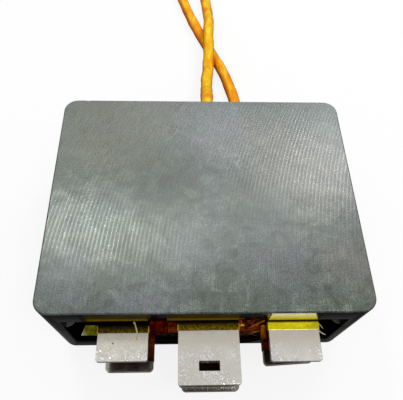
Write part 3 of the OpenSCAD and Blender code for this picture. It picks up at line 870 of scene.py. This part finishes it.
slot_of = {part["node"]: part["material_slot"] for part in frame["record"]["subparts"]}
for name, solid in frame["nodes"].items():
    finish_with(solid, OTHER_TAPES.get(name, FINISHES[slot_of[name]]))
finish_with(left_lead, lead_wrap)
finish_with(right_lead, deep_lead_wrap)
print("finished", len(slot_of), "solids and two leads")

# %% [markdown]
# Soft edges.
# A stamped sheet has a rolled edge on one side, and ground ferrite loses a little at every
# corner. Such edges catch the light as thin bright lines. A Bevel modifier would round them,
# but the solids' meshes are loose triangles. So the pieces that show most are copied, their
# triangles are merged back to flat faces, and a small bevel runs along every sharp edge. Only
# the slot stays crisp, as a punch leaves it. The corners at the upper tabs' ends are a little
# squarer on the real sheets than in the solids, so they are drawn in first.

# %% Squarer tab corners
# Tabs stand out further than this from the core, and their middles are a pitch apart
TABS_FROM = 5 * MM
TAB_PITCH = 16.4 * MM
SOLID_CORNER_R, TAB_CORNER_R = 0.9 * MM, 0.5 * MM
CORNER_SLACK, ARC_SLACK = 0.01 * MM, 0.02 * MM


def square_tabs(bm):
    """Draws the round corners at the tabs' ends in to a smaller radius."""
    ends = [v for v in bm.verts if v.co.y < front_y - TABS_FROM]
    for column in (-1, 0, 1):
        tab = [v for v in ends if round(v.co.x / TAB_PITCH) == column]
        if not tab:
            continue
        end = min(v.co.y for v in tab)
        for side, edge in ((-1, min(v.co.x for v in tab)), (1, max(v.co.x for v in tab))):
            corner = Vector((edge, end))
            inward = Vector((-side, 1))
            for v in tab:
                spoke = v.co.xy - corner - inward * SOLID_CORNER_R
                outside = max(spoke.x * -side, spoke.y) < CORNER_SLACK
                if outside and abs(spoke.length - SOLID_CORNER_R) < ARC_SLACK:
                    v.co.xy = corner + inward * TAB_CORNER_R + spoke * TAB_CORNER_R / SOLID_CORNER_R


print("tab corners go from", round(SOLID_CORNER_R / MM, 1), "to", round(TAB_CORNER_R / MM, 1), "mm")

# %% Bevelled copies
# A box round the slot, in millimetres
SLOT_LOW, SLOT_HIGH = (-2, -35.2, 18), (2.8, -32, 22)
SHARP = math.radians(35)
# Faces that lean less than this from each other are one flat face
SAME_FACE = math.radians(0.5)
SMOOTH_BELOW = 20
# A face with this much of its normal along z is level and stays flat-shaded
LEVEL = 0.999
OUTER_FACE = 0.5 * MM
CORE_BEVEL, SHEET_BEVEL, PATCH_BEVEL = 0.12 * MM, 0.09 * MM, 0.25 * MM


def in_slot(edge):
    """Whether an edge belongs to the slot."""
    middle = (edge.verts[0].co + edge.verts[1].co) / 2
    return all(low * MM < at < high * MM for low, at, high in zip(SLOT_LOW, middle, SLOT_HIGH))


def softened(node, width, segments, squared=False):
    """A copy of a solid with its sharp edges bevelled, which stands for it."""
    bm = bmesh.new()
    bm.from_mesh(frame["nodes"][node].data)
    bmesh.ops.remove_doubles(bm, verts=bm.verts, dist=MERGE)
    bmesh.ops.dissolve_limit(bm, angle_limit=SAME_FACE, verts=bm.verts, edges=bm.edges)
    if squared:
        square_tabs(bm)
    folds = [e for e in bm.edges if len(e.link_faces) == 2 and e.calc_face_angle() > SHARP]
    bmesh.ops.bevel(
        bm, geom=[e for e in folds if not in_slot(e)], offset=width, offset_type="OFFSET",
        affect="EDGES", segments=segments, profile=0.5, material=-1, clamp_overlap=True,
    )
    mesh = to_mesh(bm, node)
    piece = place(mesh, "soft_" + node, SMOOTH_BELOW)
    for face in mesh.polygons:
        face.use_smooth = abs(face.normal.z) < LEVEL
    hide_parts(node)
    finish_with(piece, FINISHES[slot_of[node]])
    return piece


def grind_outside(piece):
    """Puts ground ferrite on the faces and chamfers at the top and the bottom of the core."""
    piece.data.materials.append(ground_ferrite)
    for face in piece.data.polygons:
        outside = face.center.z > core_high.z - OUTER_FACE or face.center.z < OUTER_FACE
        face.material_index = int(outside and abs(face.normal.z) > 0.5)


for node in ("upper_core_half", "lower_core_half"):
    grind_outside(softened(node, CORE_BEVEL, 2))
for node in ("upper_right_turn", "upper_left_turn"):
    softened(node, SHEET_BEVEL, 2, squared=True)
# The lower turns get the tin with painted shade
for node in ("lower_right_turn", "lower_left_turn"):
    finish_with(softened(node, SHEET_BEVEL, 2), shaded_tin)
for node in ("upper_exit_patch", "lower_exit_patch"):
    finish_with(softened(node, PATCH_BEVEL, 3), amber_tape)
print("bevelled eight solids")

# %% [markdown]
# Tape between the tabs.
# The winding's outer tape shows between the tabs as crumpled sheets, with a loose flag beside
# the left tab and small ears beside the centre one. Cloth simulation would crumple them, but
# at a few millimetres a grid that follows a bent line, with noise for the creases, gives the
# same look and stays where it is put. Solidify gives it a thickness.

# %% Crumpled tape
TAPE_T = 0.06 * MM
# All of a sheet is shaded smooth
ALL_SMOOTH = 180
SHEET_GRID = 48
BEND_PASSES = 3
WRINKLE, SMALL_WRINKLE = 1.6 * MM, 0.6 * MM


def taped(mesh, name, material):
    """A sheet of tape with its thickness, from a mesh of its middle."""
    piece = place(mesh, name, ALL_SMOOTH)
    thick = piece.modifiers.new("thickness", "SOLIDIFY")
    thick.thickness = TAPE_T
    thick.offset = 0
    finish_with(piece, material)
    return piece


def crumpled(name, x_from, x_to, line, crease, fold, seed, material):
    """A sheet that follows a line of (y, z) points in millimetres between two places in x.
    A fold is the height of its sharp folds, their pitch and how far they slant."""
    bm = bmesh.new()
    bmesh.ops.create_grid(bm, x_segments=SHEET_GRID, y_segments=SHEET_GRID, size=1)
    height, pitch, slant = fold
    ridge = {}
    for v in bm.verts:
        a, b = (v.co.x + 1) / 2, (v.co.y + 1) / 2
        at = b * (len(line) - 1)
        k = min(int(at), len(line) - 2)
        y, z = (p + (q - p) * (at - k) for p, q in zip(line[k], line[k + 1]))
        count = ((x_to - x_from) * a + slant * b) / pitch + seed
        ridge[v] = height * (2 * abs(count % 1 - 0.5) - 0.5)
        v.co = Vector((x_from + (x_to - x_from) * a, y, z)) * MM
    for _ in range(BEND_PASSES):
        bmesh.ops.smooth_vert(bm, verts=bm.verts, factor=0.5, use_axis_y=True, use_axis_z=True)
    bmesh.ops.recalc_face_normals(bm, faces=bm.faces)
    bm.normal_update()
    for v in bm.verts:
        wrinkle = noise.noise(v.co / WRINKLE + Vector((seed, 0, 0)))
        wrinkle += 0.5 * noise.noise(v.co / SMALL_WRINKLE + Vector((0, seed, 0)))
        v.co += v.normal * (crease * wrinkle + ridge[v]) * MM
    print(name, "width in mm:", round(x_to - x_from, 1))
    return taped(to_mesh(bm, name), name, material)


print("tape thickness in mm:", round(TAPE_T / MM, 2))

# %% Sheets, flag and ears
left_gap = crumpled(
    "left_gap_crumple", -11.0, -5.6,
    [(-24.3, 19.4), (-25.5, 19.1), (-26.7, 18.6), (-26.95, 18.0), (-26.9, 16.6)],
    0.22, (0.3, 1.7, 0.5), 3, deep_tape)
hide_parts("left_gap_tape")
right_gap = crumpled(
    "right_gap_crumple", 6.4, 11.8,
    [(-24.3, 19.5), (-25.6, 19.2), (-27.0, 18.4), (-27.3, 17.4), (-26.9, 16.4)],
    0.15, (0.25, 2.6, 5.0), 11, gold_tape)
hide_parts("right_gap_tape")
FLAG_LEFT, FLAG_RIGHT, FLAG_END = -24.1, -20.95, -27.4
flag = crumpled(
    "loose_flag", FLAG_LEFT, FLAG_RIGHT, [(-25.4, 18.95), (-26.4, 18.9), (FLAG_END, 19.1)],
    0.1, (0.05, 1.5, 1.0), 5, flag_tape)
# The flag's free end is torn at a slant
FLAG_SLANT = 0.3
for v in flag.data.vertices:
    share = (FLAG_RIGHT * MM - v.co.x) / ((FLAG_RIGHT - FLAG_LEFT) * MM)
    v.co.x += FLAG_SLANT * (v.co.y - FLAG_END * MM) * share
NO_FOLD = (0, 1, 0)
crumpled(
    "left_ear", -7.4, -5.45, [(-25.0, 19.3), (-26.2, 19.2), (-27.0, 18.9)],
    0.06, NO_FOLD, 7, gold_tape)
crumpled(
    "right_ear", 6.35, 7.1, [(-25.0, 20.0), (-26.2, 19.8), (-27.1, 19.3)],
    0.06, NO_FOLD, 9, gold_tape)

# %% [markdown]
# Slivers of tape.
# Where tape was torn off the roll by hand, thin threads of it stay behind. Small folds and the
# edges of the tabs' tape catch the light, which is painted into them as bright lines, and one
# strip hangs down beside the right tab. A bevelled curve would be round like a wire, so each of
# them is a narrow grid laid along a curve, flat on what it lies on.

# %% Threads, folds and edges
THREAD_STEPS = 6


def thread(name, points, widths, flat_to, material):
    """A narrow strip along a curve, as wide as the first value at its start and the second at
    its end, in millimetres. It lies flat to a direction."""
    curve = smooth_curve(name, [Vector(p) * MM for p in points], THREAD_STEPS)
    line = [v.co.copy() for v in meshed(curve).vertices]
    last = len(line) - 1
    bm = bmesh.new()
    bmesh.ops.create_grid(bm, x_segments=last, y_segments=2, size=1)
    for v in bm.verts:
        share = (v.co.x + 1) / 2
        step = round(share * last)
        ahead = line[min(step + 1, last)] - line[max(step - 1, 0)]
        aside = ahead.cross(Vector(flat_to)).normalized()
        width = widths[0] + (widths[1] - widths[0]) * share
        v.co = line[step] + aside * v.co.y * width / 2 * MM
    return taped(to_mesh(bm, name), name, material)


UP = (0, 0, 1)
# Torn threads, folds and glints: their points, their widths and their finish
SLIVERS = {
    "left_tab_thread": (
        [(-14.2, -24.7, 20.0), (-13.6, -26.1, 20.0), (-13.3, -27.3, 20.0), (-13.4, -28.5, 19.86)],
        (0.35, 0.22), thread_tape),
    "right_tab_curl": (
        [(21.8, -26.0, 20.7), (22.2, -26.3, 20.7), (22.7, -26.9, 20.5)], (0.3, 0.1), thread_tape),
    "right_tab_hair": (
        [(21.8, -27.1, 20.3), (22.3, -27.6, 20.2), (23.1, -28.0, 20.1)], (0.3, 0.12), thread_tape),
    "right_gap_fold": (
        [(7.9, -26.5, 19.1), (9.9, -25.7, 19.7), (11.4, -25.2, 20.4)], (0.4, 0.25), fold_tape),
    "right_gap_edge": (
        [(7.0, -27.3, 18.4), (8.8, -27.1, 18.6), (10.6, -26.8, 18.8)], (0.2, 0.14), fold_tape),
    "right_gap_upper_glint": (
        [(6.5, -24.9, 20.2), (7.0, -24.9, 20.25), (7.5, -24.9, 20.2)], (0.35, 0.25), glint_tape),
    "right_gap_lower_glint": (
        [(6.5, -25.9, 19.95), (7.0, -25.9, 20.0), (7.5, -25.95, 19.9)], (0.5, 0.3), glint_tape),
}
for name, (points, widths, finish) in SLIVERS.items():
    thread(name, points, widths, UP, finish)
thread(
    "right_gap_strip", [(11.2, -25.9, 19.7), (11.4, -27.4, 17.9), (12.0, -27.8, 15.0), (12.5, -27.8, 13.1)],
    (1.0, 1.2), (0, -1, 0.4), strip_tape)
# Where tape goes over a tab's edge: its place in x and z
TAPE_EDGES = {
    "left_tape_outer_edge": (-20.9, 19.93),
    "left_tape_inner_edge": (-11.1, 19.93),
    "centre_tape_left_edge": (-5.45, 21.33),
    "centre_tape_right_edge": (6.25, 21.33),
}
EDGE_YS = (-25.9, -26.5, -27.2)
EDGE_WIDTHS = (0.12, 0.2)
# Each edge gets the painted yellow highlight of a fold that faces a lamp
for name, (x, z) in TAPE_EDGES.items():
    thread(name, [(x, y, z) for y in EDGE_YS], EDGE_WIDTHS, UP, glint_tape)
print("slivers:", len(SLIVERS), "a strip, and edges:", len(TAPE_EDGES))

# %% [markdown]
# The floor and the light.
# The part stands on a white floor under soft light. A floor that is only lit turns grey unless
# there is too much light on the part. So to the camera the floor is mostly white by itself,
# and the rest of it is lit and carries the part's shadow. Mirrored rays see it a little white,
# and all other rays see dark grey, so that the floor doesn't light the part from below.

# %% Floor
FLOOR_SIZE = 4.0
WHITE_TO_CAMERA = 0.85
WHITE_IN_MIRRORS = 0.12
bm = bmesh.new()
bmesh.ops.create_grid(bm, x_segments=1, y_segments=1, size=FLOOR_SIZE / 2)
floor = new_object("floor", to_mesh(bm, "floor"))


def white_share(tree, rays):
    """How far a ray sees plain white: rays from the camera most, mirrored and refracted ones less."""
    either = {0: rays["Is Glossy Ray"], 1: rays["Is Transmission Ray"]}
    bent = add(tree, "Math", either, operation="MAXIMUM")
    less = add(tree, "Math", {0: bent, 1: WHITE_IN_MIRRORS}, operation="MULTIPLY")
    seen = {0: rays["Is Camera Ray"], 1: WHITE_TO_CAMERA, 2: less}
    return add(tree, "Math", seen, operation="MULTIPLY_ADD")


floor_white, tree, shader = new_material("white_floor")
rays = add(tree, "LightPath", {}).node.outputs
greys = {0: rays["Is Camera Ray"], 6: "#3c3c3c", 7: "#f8f8f8"}
wire(tree, shader, {
    "Base Color": add(tree, "Mix", greys, 2, data_type="RGBA"),
    "Roughness": 0.9,
    "Specular IOR Level": 0,
})
glow = add(tree, "Emission", {"Color": "#ffffff", "Strength": 1.0})
mixed = add(tree, "MixShader", {0: white_share(tree, rays), 1: shader.outputs[0], 2: glow})
wire(tree, tree.nodes["Material Output"], {"Surface": mixed})
finish_with(floor, floor_white)
print("floor is", FLOOR_SIZE, "m wide")

# %% [markdown]
# Lamps and sky.
# One large panel would light everything evenly and hide the grinding lines. Two small panels
# behind the part put a highlight on each side of the top face, where the lines then show, and
# a third one in front lights the tabs. The sky is a soft grey overhead and black at the
# horizon, and like the floor it is mostly white to the camera.

# %% Lamps
# Where each panel hangs, what it is aimed at, its width in millimetres, its watts and its tint
LAMPS = {
    "back_left_panel": ((-92, 120, 296), (-25, -8, 27), 45, 0.2, "#f4fff6"),
    "back_right_panel": ((126, 165, 263), (29, 7, 27), 90, 0.22, "#ffffff"),
    "front_right_panel": ((89, -101, 303), (17, -26, 21), 80, 0.2, "#ffffff"),
}
for name, (at, aim, size, watts, tint) in LAMPS.items():
    lamp = new_object(name, bpy.data.lights.new(name, "AREA"))
    lamp.data.energy = watts
    lamp.data.color = linear(tint)[:3]
    lamp.data.size = size * MM
    point(lamp, Vector(at) * MM, Vector(aim) * MM)
print("lamps:", len(LAMPS))

# %% World
# How high a direction points, and how bright the sky is there
SKY = [(0.1, 0.0), (0.5, 0.56), (0.75, 0.66), (1.0, 0.53)]
world = bpy.data.worlds.new("soft_room")
bpy.context.scene.world = world
world.use_nodes = True
tree = world.node_tree
up = add(tree, "SeparateXYZ", {0: add(tree, "TexCoord", {}, "Generated")}, "Z")
sky = add(tree, "ValToRGB", {0: up})
stops = sky.node.color_ramp.elements
while len(stops) < len(SKY):
    stops.new(1)
for stop, (height, level) in zip(stops, SKY):
    stop.position = height
    stop.color = (level, level, level, 1)
share = white_share(tree, add(tree, "LightPath", {}).node.outputs)
seen = add(tree, "Mix", {0: share, 2: sky, 3: 1.0})
wire(tree, tree.nodes["Background"], {"Color": "#ffffff", "Strength": seen})
bpy.context.scene.view_settings.view_transform = "Standard"
print("sky stops:", len(SKY))
